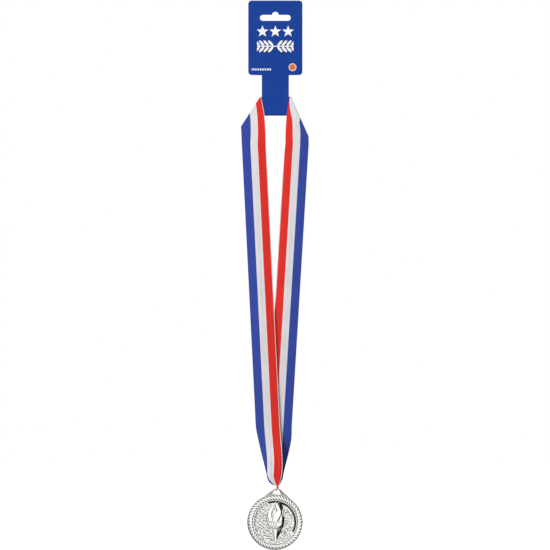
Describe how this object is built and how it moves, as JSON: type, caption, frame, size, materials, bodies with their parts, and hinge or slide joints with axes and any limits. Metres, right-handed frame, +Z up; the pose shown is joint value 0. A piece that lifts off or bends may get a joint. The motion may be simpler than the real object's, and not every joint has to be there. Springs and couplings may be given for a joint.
{
  "type": "award medal on ribbon",
  "caption": "Round silver award medal with a torch and rope border, threaded on a blue, white and red neck ribbon that hangs from a folded header card.",
  "frame": {"origin": "hang point: the top of the euro slot's middle bump, in the card's front panel", "axes": "+Z up along the hanging object, -Y the front that shows the card's print and the medal's torch, +X to the right seen from the front"},
  "size_m": [0.063, 0.0055, 0.4989],
  "materials": {
    "card_print": "blue print on white board, slight gloss",
    "dried_glue": "dried hot-melt glue",
    "ribbon_satin": "woven satin in three equal stripes of blue, white and red",
    "sewing_thread": "white polyester thread",
    "silver_plate": "bright silver plating"
  },
  "bodies": {
    "card": {"header_card": "card_print", "card_glue_pad": "dried_glue", "ribbon_left_shoulder": "ribbon_satin", "ribbon_right_shoulder": "ribbon_satin", "ribbon_seam_stitching": "sewing_thread"},
    "ribbon": {"ribbon_left_leg": "ribbon_satin", "ribbon_right_leg": "ribbon_satin"},
    "ribbon_end": {"ribbon_eye_loop": "ribbon_satin"},
    "medal": {"medal_body": "silver_plate"}
  },
  "joints": [
    {"name": "ribbon_swing", "type": "hinge", "parent": "card", "child": "ribbon", "pos_m": [0, -0.00068, -0.118], "axis": [1, 0, 0], "range_deg": [-60, 60]},
    {"name": "ribbon_twist", "type": "hinge", "parent": "ribbon", "child": "ribbon_end", "pos_m": [0.0018, 0, -0.43015], "axis": [0, 0, 1], "range_deg": [-180, 180]},
    {"name": "medal_swing", "type": "hinge", "parent": "ribbon_end", "child": "medal", "pos_m": [0.0018, 0, -0.4319], "axis": [1, 0, 0], "range_deg": [-90, 90]}
  ]
}
